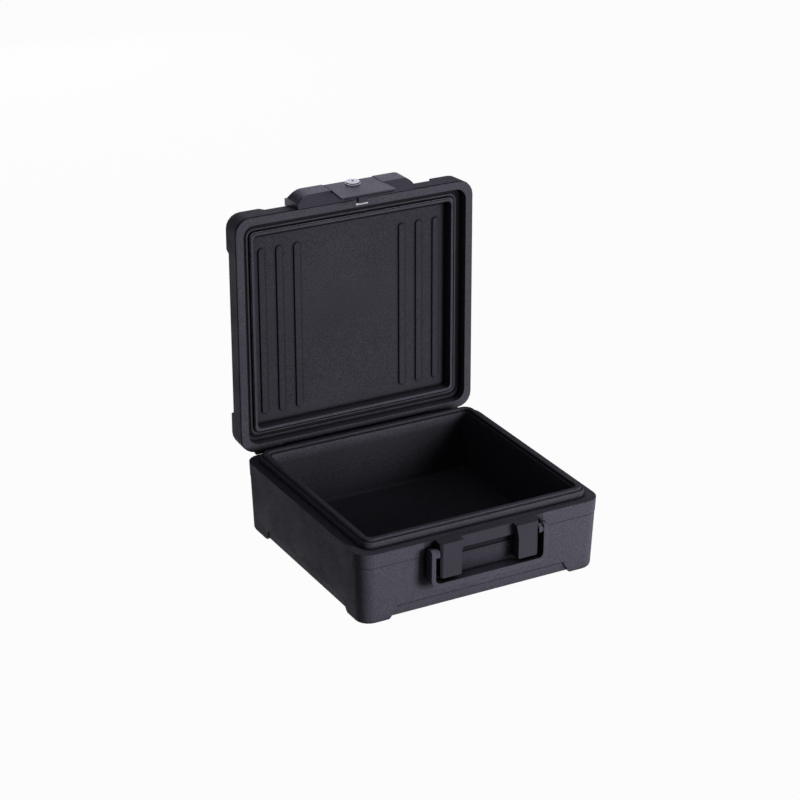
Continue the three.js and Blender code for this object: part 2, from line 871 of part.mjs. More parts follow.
function latchHousing() {
  const top = RIM + housing.backHeight;
  const shoulder = housing.flat + (housing.half - housing.flat) * housing.curveShare;
  const shape = new THREE.Shape();
  shape.moveTo(-housing.half, FRONT + WALL);
  shape.lineTo(-housing.half, FRONT - housing.endWall);
  shape.quadraticCurveTo(-shoulder, plateOuter, -housing.flat, plateOuter);
  shape.lineTo(housing.flat, plateOuter);
  shape.quadraticCurveTo(shoulder, plateOuter, housing.half, FRONT - housing.endWall);
  shape.lineTo(housing.half, FRONT + WALL);
  const side = outline([
    [plateOuter - OVERRUN, RIM],
    [FRONT + WALL + OVERRUN, RIM],
    [FRONT + WALL + OVERRUN, top],
    [FRONT - housing.endWall, top],
    [plateOuter, RIM + housing.height],
    [plateOuter - OVERRUN, RIM + housing.height],
  ]);
  const heels = [-1, 1].map((sign) => {
    const heel = outline([
      [sign * (housing.half - WALL), RIM],
      [sign * housing.half, RIM],
      [sign * (housing.half + housing.flare), top],
      [sign * (housing.half - WALL), top],
    ]);
    return prism(heel, "y", FRONT - housing.endWall, FRONT + WALL);
  });
  const slab = prism(side, "x", -housing.half - OVERRUN, housing.half + OVERRUN);
  const made = join(prism(shape, "z", RIM, top).intersect(slab), ...heels);
  const bedShape = plateOutline(PLAY, top + OVERRUN, RIM - OVERRUN);
  const bed = prism(bedShape, "y", plateOuter - OVERRUN, plateInner + FIT);
  const pinHalf = latch.topHalf + PLAY + latch.pinSeat + FIT;
  const lockRoom = block(
    [-lock.pocketHalf, lock.pocketHalf],
    [plateInner - OVERRUN, FRONT - lock.pocketFloor],
    [RIM - OVERRUN, RIM + lock.pocketTop],
  );
  const shafts = [-1, 1].map((side) =>
    rodY(fixing.shank + FIT, FRONT - fixing.length, FRONT + OVERRUN, side * fixing.apart, RIM + fixing.rise),
  );
  return cut(
    made,
    lidForm(-FIT, RIM - OVERRUN),
    bed,
    rodX(latch.barrel + PLAY, -latch.topHalf - PLAY, latch.topHalf + PLAY, latchY, latchZ),
    rodX(latch.pin + FIT, -pinHalf, pinHalf, latchY, latchZ),
    lockRoom,
    ...shafts,
  );
}

function housingScrew(side) {
  return turned(
    [
      [0, fixing.headHeight],
      [fixing.head, fixing.headHeight],
      [fixing.head, 0],
      [fixing.shank, 0],
      [fixing.shank, -fixing.length],
      [0, -fixing.length],
    ],
    side * fixing.apart,
    FRONT + lidCavityInset(RIM + fixing.rise + fixing.head) + FIT,
    RIM + fixing.rise,
  );
}

function latchPlate() {
  const flat = prism(plateOutline(0, latchZ, RIM - latch.reach), "y", plateOuter, plateInner, latch.edge);
  const arm = block(
    [hook.x - latch.armHalf, hook.x + latch.armHalf],
    [plateInner - latch.thickness / 2, FRONT - latch.armEnd],
    [RIM - latch.armTop - latch.armHeight, RIM - latch.armTop],
  );
  const seat = block(
    [hook.x - hook.stem / 2 - FIT, hook.x + hook.stem / 2 + FIT],
    [FRONT - latch.armEnd - hook.rooted - FIT, FRONT],
    [RIM - latch.armTop - hook.thickness - FIT, RIM],
  );
  return cut(
    join(flat, rodX(latch.barrel, -latch.topHalf, latch.topHalf, latchY, latchZ), cut(arm, seat)),
    rodX(latch.pin + FIT, -latch.topHalf - OVERRUN, latch.topHalf + OVERRUN, latchY, latchZ),
    rodY(lock.body + FIT, plateOuter - OVERRUN, plateInner + OVERRUN, 0, lockZ),
  );
}

function latchHook() {
  const shape = outline([
    [hook.x - hook.width / 2, FRONT - hook.tip],
    [hook.x - hook.width / 2, FRONT - hook.tongue],
    [hook.x - hook.stem / 2, FRONT - hook.tongue],
    [hook.x - hook.stem / 2, FRONT - latch.armEnd - hook.rooted],
    [hook.x + hook.stem / 2, FRONT - latch.armEnd - hook.rooted],
    [hook.x + hook.stem / 2, FRONT - hook.tongue],
    [hook.x + hook.width / 2, FRONT - hook.tongue],
    [hook.x + hook.width / 2, FRONT - hook.tip],
  ]);
  return prism(shape, "z", RIM - latch.armTop - hook.thickness, RIM - latch.armTop);
}

function latchPin() {
  const half = latch.topHalf + PLAY + latch.pinSeat;
  return rodX(latch.pin, -half, half, latchY, latchZ);
}

// Lock pieces, along Y through the latch plate

const lockEnd = latch.thickness + lock.behind;

function lockBarrel() {
  return turned(
    [
      [lock.plug + FIT, lockEnd],
      [lock.body, lockEnd],
      [lock.body, -FIT],
      [lock.neck, -FIT],
      [lock.neck, -lock.neckHeight],
      [lock.head, -lock.neckHeight],
      [lock.head, -lock.headHeight + lock.headEdge],
      [lock.head - lock.headEdge, -lock.headHeight],
      [lock.plug + FIT, -lock.headHeight],
      [lock.plug + FIT, lockEnd],
    ],
    0,
    plateOuter,
    lockZ,
  );
}

function lockNut() {
  const low = plateInner + FIT;
  return cut(
    rodY(lock.nut, low, low + lock.nutHeight, 0, lockZ, lock.nutSides),
    rodY(lock.body + FIT, low - OVERRUN, low + OVERRUN, 0, lockZ),
  );
}

function lockPlug() {
  const front = plateOuter - lock.headHeight;
  const back = plateOuter + lockEnd + FIT;
  const way = block(
    [-lock.keywayWidth / 2, lock.keywayWidth / 2],
    [front - OVERRUN, front + lock.keywayDepth],
    [lockZ - lock.keyway / 2, lockZ + lock.keyway / 2],
  );
  return cut(rodY(lock.plug, front, back, 0, lockZ), way);
}

function lockCam() {
  const low = plateOuter + lockEnd + 2 * FIT;
  const arm = outline([
    [-lock.camHalf, lockZ - lock.camLength, lock.camHalf / 2],
    [lock.camHalf, lockZ - lock.camLength, lock.camHalf / 2],
    [lock.camHalf, lockZ + lock.camHalf, lock.camHalf / 2],
    [-lock.camHalf, lockZ + lock.camHalf, lock.camHalf / 2],
  ]);
  return prism(arm, "y", low, low + lock.camHeight);
}

function camScrew() {
  const low = plateOuter + lockEnd + lock.camHeight + 3 * FIT;
  return rodY(lock.camScrew, low, low + lock.camScrewHeight, 0, lockZ);
}

// Assembly

// Pieces that turn about an axis along X: they are drawn in the shut box's frame and turned about the axis.
function turning(y, z, angle, pieces) {
  const drawn = new THREE.Group();
  drawn.position.set(0, -y, -z);
  drawn.add(...pieces);
  const axis = new THREE.Group();
  axis.position.set(0, y, z);
  axis.rotation.x = angle;
  axis.add(drawn);
  return axis;
}

const lockGroup = turning(latchY, latchZ, 0, [
  mesh("latch_plate", latchPlate(), trimPlastic),
  mesh("latch_hook", latchHook(), steel),
  mesh("lock_barrel", lockBarrel(), chrome),
  mesh("lock_nut", lockNut(), steel),
  mesh("lock_plug", lockPlug(), chrome),
  mesh("lock_cam", lockCam(), steel),
  mesh("cam_screw", camScrew(), steel),
]);

const lid = turning(hingeY, hingeZ, -OPEN_ANGLE, [
  mesh("lid_shell", lidShell(), shellPlastic),
  mesh("lid_liner", lidLiner(), linerPlastic),
  mesh("lid_fill", lidFill(), insulation),
  mesh("lid_gasket", lidGasket(), sealRubber),
  mesh("latch_housing", latchHousing(), trimPlastic),
  mesh("housing_screw_left", housingScrew(-1), steel),
  mesh("housing_screw_right", housingScrew(1), steel),
  mesh("latch_pin", latchPin(), steel),
  lockGroup,
]);

const bail = turning(handleY, handleZ, 0, [mesh("handle", bailHandle(), handlePlastic)]);

const safe = new THREE.Group();
safe.add(
  mesh("base_shell", baseShell(), shellPlastic),
  mesh("base_liner", baseLiner(), linerPlastic),
  mesh("base_fill", baseFill(), insulation),
  mesh("handle_bracket", handleBracket(), trimPlastic),
  mesh("bracket_screw_left", bracketScrew(-1), darkSteel),
  mesh("bracket_screw_right", bracketScrew(1), darkSteel),
  mesh("handle_pin_left", handlePin(-1), darkSteel),
  mesh("handle_pin_right", handlePin(1), darkSteel),
  mesh("hinge_pin", rodX(hinge.pin, -hingeHalf, hingeHalf, hingeY, hingeZ), steel),
  bail,
  lid,
);

// The open box stands centred over the origin.
safe.updateMatrixWorld(true);
const reach = new THREE.Box3().setFromObject(safe, true);
safe.position.y = -(reach.min.y + reach.max.y) / 2;

export default safe;
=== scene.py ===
import json
import math

import bmesh
import bpy
from mathutils import Matrix, Vector


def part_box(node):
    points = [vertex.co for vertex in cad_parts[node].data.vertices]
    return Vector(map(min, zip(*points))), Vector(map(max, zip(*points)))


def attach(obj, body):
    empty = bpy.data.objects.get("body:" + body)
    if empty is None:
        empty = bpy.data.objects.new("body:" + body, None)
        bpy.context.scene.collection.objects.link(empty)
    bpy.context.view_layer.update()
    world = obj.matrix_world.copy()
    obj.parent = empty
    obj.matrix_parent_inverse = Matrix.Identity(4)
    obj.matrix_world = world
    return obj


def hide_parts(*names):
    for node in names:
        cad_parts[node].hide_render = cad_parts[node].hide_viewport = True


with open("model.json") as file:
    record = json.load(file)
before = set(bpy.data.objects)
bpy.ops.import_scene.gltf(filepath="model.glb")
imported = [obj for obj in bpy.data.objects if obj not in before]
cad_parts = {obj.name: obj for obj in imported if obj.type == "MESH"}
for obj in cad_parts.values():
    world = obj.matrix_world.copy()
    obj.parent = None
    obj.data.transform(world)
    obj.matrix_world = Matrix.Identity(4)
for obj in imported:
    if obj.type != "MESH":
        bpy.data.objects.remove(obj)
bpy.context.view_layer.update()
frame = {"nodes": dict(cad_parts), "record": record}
nodes = frame["nodes"]
joints = {joint["name"]: joint for joint in frame["record"]["behaviour"]["joints"]}
scene = bpy.context.scene

OPEN_LID = joints["lid_hinge"]
KEY_TURN = joints["key_turn"]
LID_SWING = math.radians(OPEN_LID["range_deg"][1])
LID_LEAN = LID_SWING - math.pi / 2
INTO_LID = (0, math.cos(LID_LEAN), -math.sin(LID_LEAN))


# Node helpers

def new_material(name):
    material = bpy.data.materials.new(name)
    material.use_nodes = True
    tree = material.node_tree
    return material, tree, tree.nodes["Principled BSDF"]


def feed(tree, socket, value):
    """Sets the socket to a plain value, or links it to another node's output."""
    if isinstance(value, bpy.types.NodeSocket):
        tree.links.new(value, socket)
    else:
        socket.default_value = value


def add_node(tree, kind, inputs, **settings):
    """A node: first its settings are made, then its inputs are set or linked by name or place."""
    node = tree.nodes.new(kind)
    for name, value in settings.items():
        setattr(node, name, value)
    for name, value in inputs.items():
        feed(tree, node.inputs[name], value)
    return node


def object_point(tree):
    return add_node(tree, "ShaderNodeTexCoord", {}).outputs["Object"]


def object_place(tree, axis):
    inputs = {"Vector": object_point(tree)}
    return add_node(tree, "ShaderNodeSeparateXYZ", inputs).outputs[axis]


def noise(tree, scale, detail=2.0, roughness=0.5, point=None):
    inputs = {"Scale": scale, "Detail": detail, "Roughness": roughness}
    inputs["Vector"] = point or object_point(tree)
    return add_node(tree, "ShaderNodeTexNoise", inputs).outputs["Fac"]


def cells(tree, scale):
    inputs = {"Scale": scale, "Vector": object_point(tree)}
    return add_node(tree, "ShaderNodeTexVoronoi", inputs, feature="SMOOTH_F1").outputs["Distance"]


def stretched(tree, scale):
    inputs = {"Scale": scale, "Vector": object_point(tree)}
    return add_node(tree, "ShaderNodeMapping", inputs).outputs["Vector"]


def span(tree, value, low, high, start=0.35, end=0.65):
    """Takes the value's range from start to end to the range from low to high, and clamps it."""
    inputs = {"Value": value, "From Min": start, "From Max": end, "To Min": low, "To Max": high}
    return add_node(tree, "ShaderNodeMapRange", inputs).outputs["Result"]


def calculate(tree, operation, *values, clamp=False):
    inputs = dict(enumerate(values))
    settings = {"operation": operation, "use_clamp": clamp}
    return add_node(tree, "ShaderNodeMath", inputs, **settings).outputs["Value"]


def product(tree, value, *factors):
    for factor in factors:
        value = calculate(tree, "MULTIPLY", value, factor)
    return value


def dot_product(tree, first, second):
    inputs = {0: first, 1: second}
    node = add_node(tree, "ShaderNodeVectorMath", inputs, operation="DOT_PRODUCT")
    return node.outputs["Value"]


def scaled_colour(tree, colour, factor):
    inputs = {0: colour, "Scale": factor}
    return add_node(tree, "ShaderNodeVectorMath", inputs, operation="SCALE").outputs["Vector"]


def blended(tree, factor, first, second):
    """A colour between the two, which are plain (red, green, blue) or another node's output."""
    inputs = {"Factor": factor}
    for place, colour in ((6, first), (7, second)):
        inputs[place] = (*colour, 1) if isinstance(colour, tuple) else colour
    return add_node(tree, "ShaderNodeMix", inputs, data_type="RGBA").outputs[2]


def edge_mask(tree, radius, gain):
    """1 on the convex and concave edges of the piece, 0 on its faces."""
    rounded = add_node(tree, "ShaderNodeBevel", {"Radius": radius}, samples=4)
    plain = add_node(tree, "ShaderNodeNewGeometry", {})
    along = dot_product(tree, rounded.outputs["Normal"], plain.outputs["Normal"])
    return calculate(
        tree, "MULTIPLY", calculate(tree, "SUBTRACT", 1.0, along), gain, clamp=True
    )


def painted_crevice_shade(tree, reach, low, closed, open_share):
    """Painted shade: 1 where the share of open sky within reach is open_share, down to low where
    closed.
    """
    node = add_node(tree, "ShaderNodeAmbientOcclusion", {"Distance": reach}, samples=6)
    return span(tree, node.outputs["AO"], low, 1, closed, open_share)


def painted_corner_shade(tree, gloom):
    """Painted shade: 1 in the open, less in narrow gaps, and down to gloom in wide corners."""
    gaps = painted_crevice_shade(tree, reach=0.0042, low=0.05, closed=0.6, open_share=0.97)
    corners = painted_crevice_shade(tree, reach=0.024, low=gloom, closed=0.25, open_share=0.75)
    return product(tree, gaps, corners)


def bumped(tree, shader, layers):
    """Stacks (height, strength, distance) layers of relief on the shader's normal."""
    normal = {}
    for height, strength, distance in layers:
        inputs = {"Height": height, "Strength": strength, "Distance": distance, **normal}
        normal = {"Normal": add_node(tree, "ShaderNodeBump", inputs).outputs["Normal"]}
    feed(tree, shader.inputs["Normal"], normal["Normal"])


# marks dark lines: both moulding seams and painted shadow lines under overhanging edges
def seam_and_shadow_line(tree, height, half, within=None, up=(0, 0, 1)):
    """1 on a line at the given height along up, which reaches half to either side, 0 elsewhere.

    The line goes all round the piece, or shows only within one of the given spans of X and Y.
    """
    along = dot_product(tree, object_point(tree), up)
    away = calculate(tree, "ABSOLUTE", calculate(tree, "SUBTRACT", along, height))
    line = span(tree, away, 1, 0, half * 0.5, half)
    if within is None:
        return line
    inside = 0
    for axis, (low, high) in within.items():
        place = object_place(tree, axis)
        above = calculate(tree, "GREATER_THAN", place, low)
        below = calculate(tree, "LESS_THAN", place, high)
        inside = calculate(tree, "MAXIMUM", inside, product(tree, above, below))
    return product(tree, line, inside)


# Finishes

SHEEN_TINT = (0.84, 0.81, 1)
# the tone left on seams and on painted shadow lines
SEAM_AND_SHADOW_SHARE = 0.2


def moulded_plastic(
    name, colour, rough, grain, relief, shine, wear_and_highlight, gloom=0.35, seam_and_shadow_lines=(), deep=None
):
    """Injection-moulded plastic: eroded grain, faint flow marks, rubbed edges with a painted
    highlight, and uneven sheen.

    grain is the scale of its pits and relief their strength. gloom is the share of its tone that
    is left in wide corners, and deep fades it along an axis, from start to end, to a last share.
    Both are painted shade.
    """
    material, tree, shader = new_material(name)
    shader.inputs["Specular IOR Level"].default_value = shine
    shader.inputs["Specular Tint"].default_value = (*SHEEN_TINT, 1)
    flow = noise(tree, scale=9, detail=3, roughness=0.55)
    speckle = noise(tree, scale=grain * 0.8, detail=2, roughness=0.6)
    factors = [span(tree, flow, 0.93, 1.07), span(tree, speckle, 0.74, 1.26)]
    # painted shade in gaps and corners
    factors.append(painted_corner_shade(tree, gloom))
    # painted shade, darker deeper along the axis
    if deep:
        axis, start, end, share = deep
        factors.append(span(tree, object_place(tree, axis), 1, share, start, end))
    for line in seam_and_shadow_lines:
        factors.append(span(tree, seam_and_shadow_line(tree, **line), 1, SEAM_AND_SHADOW_SHARE, 0, 1))
    base = scaled_colour(tree, colour, product(tree, *factors))
    scuffs = span(tree, noise(tree, scale=160, detail=4, roughness=0.7), 0, 1, 0.45, 0.7)
    # lighter edges: partly rubbed wear, partly a painted highlight
    rubbed_and_highlit = product(tree, edge_mask(tree, radius=0.0011, gain=2.2), scuffs, wear_and_highlight)
    worn_and_highlit_tone = tuple(min(1.0, 2.1 * part + 0.012) for part in colour)
    feed(tree, shader.inputs["Base Color"], blended(tree, rubbed_and_highlit, base, worn_and_highlit_tone))
    patches = span(tree, noise(tree, scale=28, detail=4, roughness=0.6), -0.05, 0.05)
    uneven = calculate(tree, "ADD", patches, span(tree, speckle, -0.06, 0.06))
    feed(tree, shader.inputs["Roughness"], calculate(tree, "ADD", uneven, rough))
    fine = noise(tree, scale=grain * 2.1, detail=2, roughness=0.6)
    pits = calculate(tree, "ADD", cells(tree, grain), fine)
    sink = noise(tree, scale=7, detail=1, roughness=0.4)
    bumped(tree, shader, [(sink, 0.12, 0.003), (pits, relief, 0.00035)])
    return material


def metal(name, colour, rough, stretch, line_scale, relief=0.06, metallic=1, shine=0.5):
    """Metal with smears, scratches and fine lines drawn along the axis of the least stretch."""
    material, tree, shader = new_material(name)
    shader.inputs["Metallic"].default_value = metallic
    shader.inputs["Specular IOR Level"].default_value = shine
    drawn = noise(tree, line_scale, detail=2, roughness=0.6, point=stretched(tree, stretch))
    smear = noise(tree, scale=70, detail=4, roughness=0.65)
    across = stretched(tree, (1, 0.12, 1))
    scratches = noise(tree, scale=900, detail=3, roughness=0.7, point=across)
    # painted shade in the metal's gaps and contacts
    gaps = painted_crevice_shade(tree, reach=0.005, low=0.08, closed=0.5, open_share=0.95)
    tone = product(tree, span(tree, drawn, 0.9, 1.06), span(tree, smear, 0.92, 1.04), gaps)
    feed(tree, shader.inputs["Base Color"], scaled_colour(tree, colour, tone))
    smeared = span(tree, smear, -0.05, 0.07)
    uneven = calculate(tree, "ADD", smeared, span(tree, scratches, -0.02, 0.04))
    feed(tree, shader.inputs["Roughness"], calculate(tree, "ADD", uneven, rough))
    bumped(tree, shader, [(drawn, relief, 0.00012), (scratches, relief / 2, 0.00008)])
    return material


def rubber(name, colour):
    """Dull rubber with a dusty bloom and a fine grain."""
    material, tree, shader = new_material(name)
    shader.inputs["Specular IOR Level"].default_value = 0.3
    bloom = noise(tree, scale=120, detail=4, roughness=0.65)
    specks = span(tree, noise(tree, scale=1400), 0.9, 1.1)
    # the last factor is painted shade in gaps and corners
    tone = product(tree, span(tree, bloom, 0.85, 1.25), specks, painted_corner_shade(tree, gloom=0.4))
    feed(tree, shader.inputs["Base Color"], scaled_colour(tree, colour, tone))
    feed(tree, shader.inputs["Roughness"], span(tree, bloom, 0.68, 0.85))
    grain = noise(tree, scale=1300, detail=3, roughness=0.6)
    bumped(tree, shader, [(grain, 0.25, 0.0002)])
    return material


def foam(name, colour):
    """The porous fill between shell and liner."""
    material, tree, shader = new_material(name)
    shader.inputs["Specular IOR Level"].default_value = 0.2
    pores = cells(tree, 420)
    clouds = span(tree, noise(tree, scale=30, detail=3), 0.9, 1.05)
    tone = product(tree, span(tree, pores, 0.6, 1.08, 0.1, 0.6), clouds)
    feed(tree, shader.inputs["Base Color"], scaled_colour(tree, colour, tone))
    feed(tree, shader.inputs["Roughness"], span(tree, pores, 0.98, 0.85, 0.1, 0.6))
    bumped(tree, shader, [(pores, 0.6, 0.0008)])
    return material


SHELL_COLOUR = (0.066, 0.064, 0.079)
SHELL_FINISH = {
    "rough": 0.6, "grain": 700, "relief": 0.7, "shine": 0.14, "wear_and_highlight": 0.3, "gloom": 0.5,
}
LINER_FINISH = {**SHELL_FINISH, "relief": 0.6, "shine": 0.12}
STEP_FINISH = {**SHELL_FINISH, "relief": 0.4}
TRIM_FINISH = {
    "rough": 0.36, "grain": 900, "relief": 0.3, "shine": 0.25, "wear_and_highlight": 0.4, "gloom": 0.1,
}
LATCH_FINISH = {"rough": 0.32, "grain": 450, "relief": 0.75, "shine": 0.8, "wear_and_highlight": 0.4}
HANDLE_FINISH = {
    "rough": 0.3, "grain": 1200, "relief": 0.12, "shine": 0.7, "wear_and_highlight": 0.4, "gloom": 0.05,
}
PARTING_LINE = {"height": 0.0772, "half": 0.0006}
# a painted shadow line under the edge that overhangs the set-back strip between the feet
FOOT_STRIP_SHADOW = {
    "height": 0.0177, "half": 0.0012, "within": {"X": (-0.119, 0.119), "Y": (-0.1225, 0.0875)},
}
LID_JOINT = {"height": 0.1525, "half": 0.0014, "up": INTO_LID}
# a painted shadow line that the ridge's crest casts on the top of the lid's panel
PANEL_TOP_SHADOW = {"height": 0.3807, "half": 0.0014, "within": {"X": (-0.137, 0.137)}}
# painted shade: the tub's liner darkens below its rim, the lid's liner deeper in its recess
TUB_DEPTH_SHADE = ("Z", 0.104, 0.09, 0.48)
LID_DEPTH_SHADE = ("Y", 0.16, 0.168, 0.6)
CHROME_FINISH = {"rough": 0.1, "stretch": (1, 0.2, 1), "line_scale": 260, "relief": 0.03}
DRAWN_FINISH = {"stretch": (0.08, 1, 1), "line_scale": 900}
DARK_FINISH = {"rough": 0.5, "stretch": (1, 1, 1), "line_scale": 700, "metallic": 0.2}
SHADE_BLACK_FINISH = {
    "rough": 0.5, "stretch": (1, 0.1, 1), "line_scale": 700, "metallic": 0, "shine": 0.1,
}

LOOKS = {
    "shell_plastic": moulded_plastic("shell_plastic_look", SHELL_COLOUR, **SHELL_FINISH),
    "liner_plastic": moulded_plastic(
        "liner_plastic_look", (0.062, 0.06, 0.072), **LINER_FINISH, deep=TUB_DEPTH_SHADE
    ),
    "trim_plastic": moulded_plastic("trim_plastic_look", (0.034, 0.033, 0.041), **TRIM_FINISH),
    "handle_plastic": moulded_plastic(
        "handle_plastic_look", (0.04, 0.039, 0.049), **HANDLE_FINISH
    ),
    "seal_rubber": rubber("seal_rubber_look", (0.06, 0.058, 0.068)),
    "insulation": foam("insulation_look", (0.46, 0.44, 0.37)),
    "lock_chrome": metal("lock_chrome_look", (0.95, 0.95, 0.96), **CHROME_FINISH),
    "steel": metal("steel_look", (0.56, 0.56, 0.57), rough=0.32, **DRAWN_FINISH),
    "dark_steel": metal("dark_steel_look", (0.016, 0.016, 0.018), **DARK_FINISH),
}
LATCH = moulded_plastic("latch_plastic_look", (0.0062, 0.006, 0.0088), **LATCH_FINISH)
NODE_LOOKS = {
    "base_shell": moulded_plastic(
        "base_shell_look", SHELL_COLOUR, **SHELL_FINISH, seam_and_shadow_lines=(PARTING_LINE, FOOT_STRIP_SHADOW)
    ),
    # a lighter copy of the shell plastic: painted light on the lid's outside
    "lid_shell": moulded_plastic(
        "lid_shell_lit_look", (0.08, 0.078, 0.095), **SHELL_FINISH, seam_and_shadow_lines=(LID_JOINT,)
    ),
    "lid_liner": moulded_plastic(
        "lid_liner_look",
        (0.064, 0.062, 0.075),
        **LINER_FINISH,
        seam_and_shadow_lines=(PANEL_TOP_SHADOW,),
        deep=LID_DEPTH_SHADE,
    ),
    "latch_housing": LATCH,
    "latch_plate": LATCH,
    "latch_hook": metal("hook_look", (0.86, 0.86, 0.87), rough=0.24, **DRAWN_FINISH),
}
# a pale plastic: a painted highlight on the ridge's step
RIDGE_STEP_HIGHLIGHT = moulded_plastic("ridge_step_highlight_look", (0.3, 0.292, 0.345), **STEP_FINISH)
# near-black rubber: a painted shadow of the rim on the seal's foot
SEAL_FOOT_SHADOW = rubber("seal_foot_shadow_look", (0.012, 0.012, 0.014))
# near-black for strips that paint shade: under the catch bar, in the keyway, under the plate's edge
SHADE_BLACK = metal("painted_shade_black_look", (0.013, 0.0125, 0.015), **SHADE_BLACK_FINISH)


# The carried-over nodes: a finish, welded faces, small mould radii and smooth shading

def geometry_group(name):
    """A modifier's node tree with its way in and its way out."""
    group = bpy.data.node_groups.new(name, "GeometryNodeTree")
    for way in ("INPUT", "OUTPUT"):
        group.interface.new_socket("Geometry", in_out=way, socket_type="NodeSocketGeometry")
    enter = group.nodes.new("NodeGroupInput").outputs[0]
    leave = group.nodes.new("NodeGroupOutput").inputs[0]
    return group, enter, leave


def soften_group():
    """Joins the faces that meet, and forgets the stored normals and sharpness."""
    group, enter, leave = geometry_group("soften")
    inputs = {"Geometry": enter, "Distance": 2e-6}
    geometry = add_node(group, "GeometryNodeMergeByDistance", inputs).outputs["Geometry"]
    for attribute in ("custom_normal", "sharp_edge", "sharp_face"):
        inputs = {"Geometry": geometry, "Name": attribute}
        geometry = add_node(group, "GeometryNodeRemoveAttribute", inputs).outputs["Geometry"]
    feed(group, leave, geometry)
    return group


def shade_group(limit):
    """Shades everything smooth apart from the edges that bend by more than the limit."""
    group, enter, leave = geometry_group("shade")
    bend = add_node(group, "GeometryNodeInputMeshEdgeAngle", {}).outputs["Unsigned Angle"]
    inputs = {0: bend, 1: limit}
    gentle = add_node(group, "FunctionNodeCompare", inputs, operation="LESS_THAN")
    kind = "GeometryNodeSetShadeSmooth"
    inputs = {"Geometry": enter, "Shade Smooth": True}
    faces = add_node(group, kind, inputs, domain="FACE")
    inputs = {"Geometry": faces.outputs["Geometry"], "Shade Smooth": gentle.outputs["Result"]}
    edges = add_node(group, kind, inputs, domain="EDGE")
    feed(group, leave, edges.outputs["Geometry"])
    return group


SOFTEN = soften_group()
SMOOTH_ANGLE = math.radians(40)
SHADE = shade_group(SMOOTH_ANGLE)
FLAT_ANGLE = math.radians(0.4)
NODE_EDGE_ANGLE = math.radians(34)
PIECE_EDGE_ANGLE = math.radians(30)
MOULD_RADIUS = {
    "base_shell": 0.0006,
    "base_liner": 0.0006,
    "lid_shell": 0.0006,
    "lid_liner": 0.0006,
    "handle_bracket": 0.0005,
    "latch_housing": 0.0007,
    "latch_plate": 0.0004,
    "handle": 0.0005,
    "lock_plug": 0.00015,
    "lock_nut": 0.0003,
    "lock_cam": 0.0002,
    "latch_hook": 0.00025,
    "handle_pin_left": 0.0003,
    "handle_pin_right": 0.0003,
    "hinge_pin": 0.0003,
    "latch_pin": 0.0003,
}


def add_bevel(item, name, radius, angle):
    bevel = item.modifiers.new(name, "BEVEL")
    bevel.width = radius
    bevel.segments = 2
    bevel.limit_method = "ANGLE"
    bevel.angle_limit = angle
    return bevel


def finish_node(node, material):
    for slot in node.material_slots:
        slot.link = "OBJECT"
        slot.material = material
    node.modifiers.new("soften", "NODES").node_group = SOFTEN
    if node.name in MOULD_RADIUS:
        flatten = node.modifiers.new("flatten", "DECIMATE")
        flatten.decimate_type = "DISSOLVE"
        flatten.angle_limit = FLAT_ANGLE
        radius = MOULD_RADIUS[node.name]
        bevel = add_bevel(node, "mould_radius", radius, NODE_EDGE_ANGLE)
        bevel.miter_outer = "MITER_ARC"
    node.modifiers.new("shade", "NODES").node_group = SHADE
    if node.name in MOULD_RADIUS:
        weighted = node.modifiers.new("weighted", "WEIGHTED_NORMAL")
        weighted.keep_sharp = True
        weighted.weight = 70


slot_of = {part["node"]: part["material_slot"] for part in frame["record"]["subparts"]}
for name, node in nodes.items():
    finish_node(node, NODE_LOOKS.get(name, LOOKS[slot_of[name]]))


# Mesh helpers

def joined(rings, closed=False, capped=False):
    """A bmesh of rings of points, each joined to the next; a ring of one point is a tip."""
    made = bmesh.new()
    placed = [[made.verts.new(point) for point in ring] for ring in rings]
    if capped:
        made.faces.new(placed[0])
        made.faces.new(placed[-1])
    following = placed[1:] + (placed[:1] if closed else [])
    for one, other in zip(placed, following):
        count = max(len(one), len(other))
        for i in range(count):
            j = i + 1
            around = (one[i % len(one)], one[j % len(one)])
            around += (other[j % len(other)], other[i % len(other)])
            corners = list(dict.fromkeys(around))
            if len(corners) > 2:
                made.faces.new(corners)
    return made


def swept(section, half):
    """A section of (y, z) points carried along x, by half to either side."""
    return joined([[(x, y, z) for y, z in section] for x in (-half, half)], capped=True)


def turned(profile, centre, axis, sides, closed=False):
    """A profile of (radius, height) points turned about the axis."""
    up = Vector(axis)
    across = up.orthogonal().normalized()
    along = up.cross(across)
    rings = []
    for radius, height in profile:
        ring = []
        for k in range(sides if radius else 1):
            angle = 2 * math.pi * k / sides
            out = across * (radius * math.cos(angle)) + along * (radius * math.sin(angle))
            ring.append(Vector(centre) + out + up * height)
        rings.append(ring)
    return joined(rings, closed)


def card(corners):
    """A flat face with the given corners."""
    made = bmesh.new()
    made.faces.new([made.verts.new(corner) for corner in corners])
    return made


def new_object(name, made, material):
    mesh = bpy.data.meshes.new(name)
    made.to_mesh(mesh)
    made.free()
    mesh.materials.append(material)
    item = bpy.data.objects.new(name, mesh)
    scene.collection.objects.link(item)
    return item


def add_piece(name, made, material, body, radius=0.0):
    bmesh.ops.recalc_face_normals(made, faces=made.faces)
    piece = new_object(name, made, material)
    if radius:
        add_bevel(piece, "edges", radius, PIECE_EDGE_ANGLE)
    piece.modifiers.new("shade", "NODES").node_group = SHADE
    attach(piece, body)
    return piece


# Pieces added to the carried-over ones

LOCK_FACE = 0.436638
LID_WIDTH = 0.34
LID_LENGTH = 0.318
LID_MIDDLE = -0.0129543
LID_RIM = 0.097
LID_CORNER = 0.02
LID_CORNER_SHARE = 0.52
LID_CORNER_STEPS = 8
GROOVE_FLOOR = 0.0141


